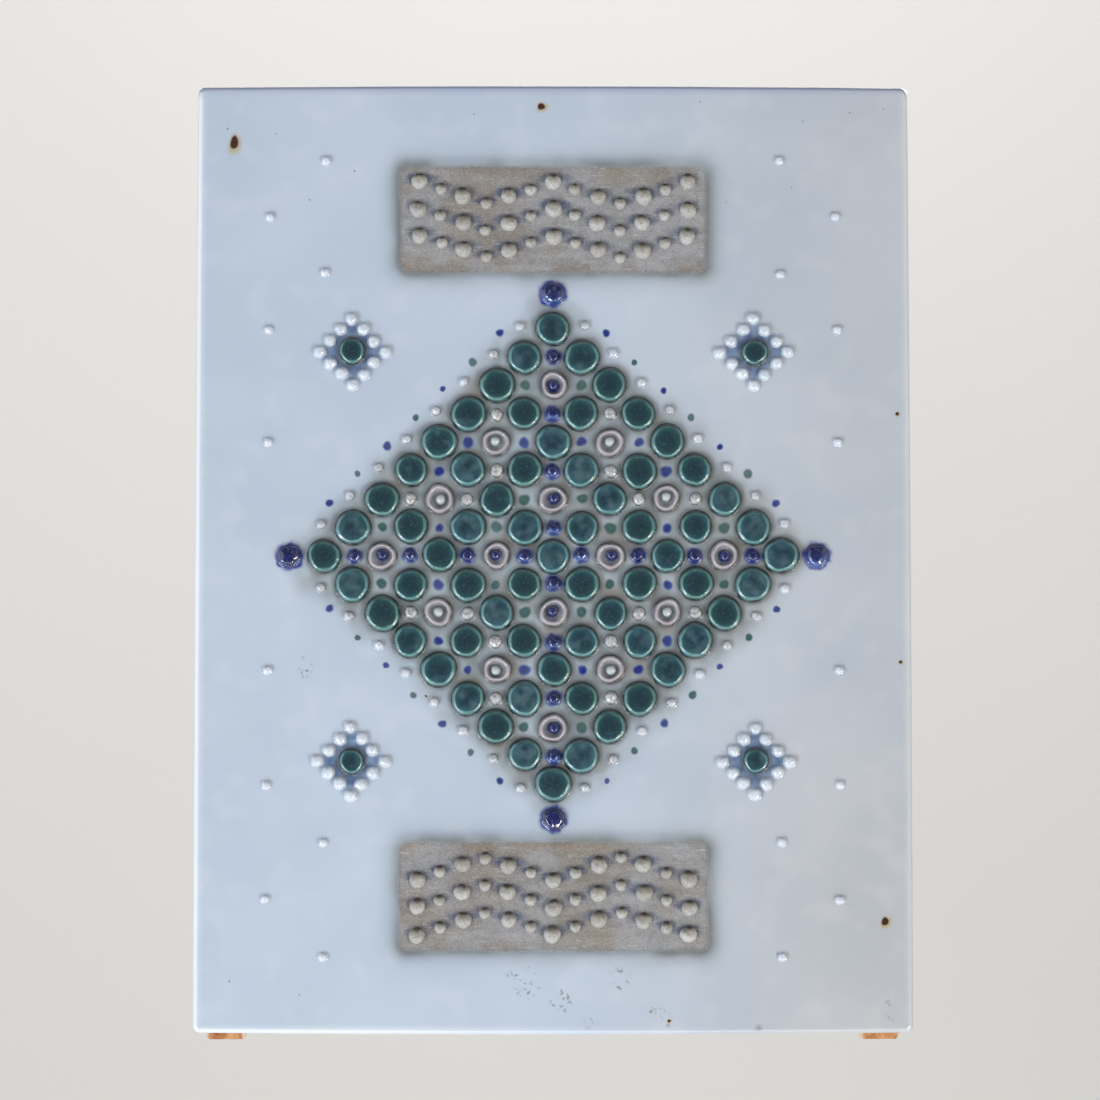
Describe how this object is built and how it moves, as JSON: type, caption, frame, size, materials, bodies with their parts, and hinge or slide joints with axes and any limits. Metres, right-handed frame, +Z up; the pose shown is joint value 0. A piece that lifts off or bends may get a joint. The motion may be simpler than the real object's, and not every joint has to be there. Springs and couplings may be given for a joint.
{
  "type": "porcelain wall plaque",
  "caption": "Upright porcelain slab for a wall, with an applied relief of glazed buttons, pearls and bare clay beads, two small feet and a blind hanging slot in its flat back.",
  "frame": {"origin": "middle of the flat back of the slab, where the plaque meets the wall", "axes": "+Z up along the slab's long side, +Y out of the back into the wall, so the relief on the front faces -Y; +X to the right as seen from the front"},
  "size_m": [0.3026, 0.0184, 0.4038],
  "materials": {
    "white_glaze": "glossy pale blue-grey glaze with fine specks and a few rust-brown iron spots",
    "green_glaze": "glossy blue-green glaze, thin and pale on the rims, dark where it pools",
    "cobalt_glaze": "glossy dark cobalt blue",
    "bisque": "dry, sandy, unglazed grey-beige clay with a thin blue-grey wash",
    "toasted_clay": "dry unglazed clay, fired to tan and ochre, on the feet and the back"
  },
  "bodies": {
    "root": {"plaque": "white_glaze"}
  },
  "joints": []
}
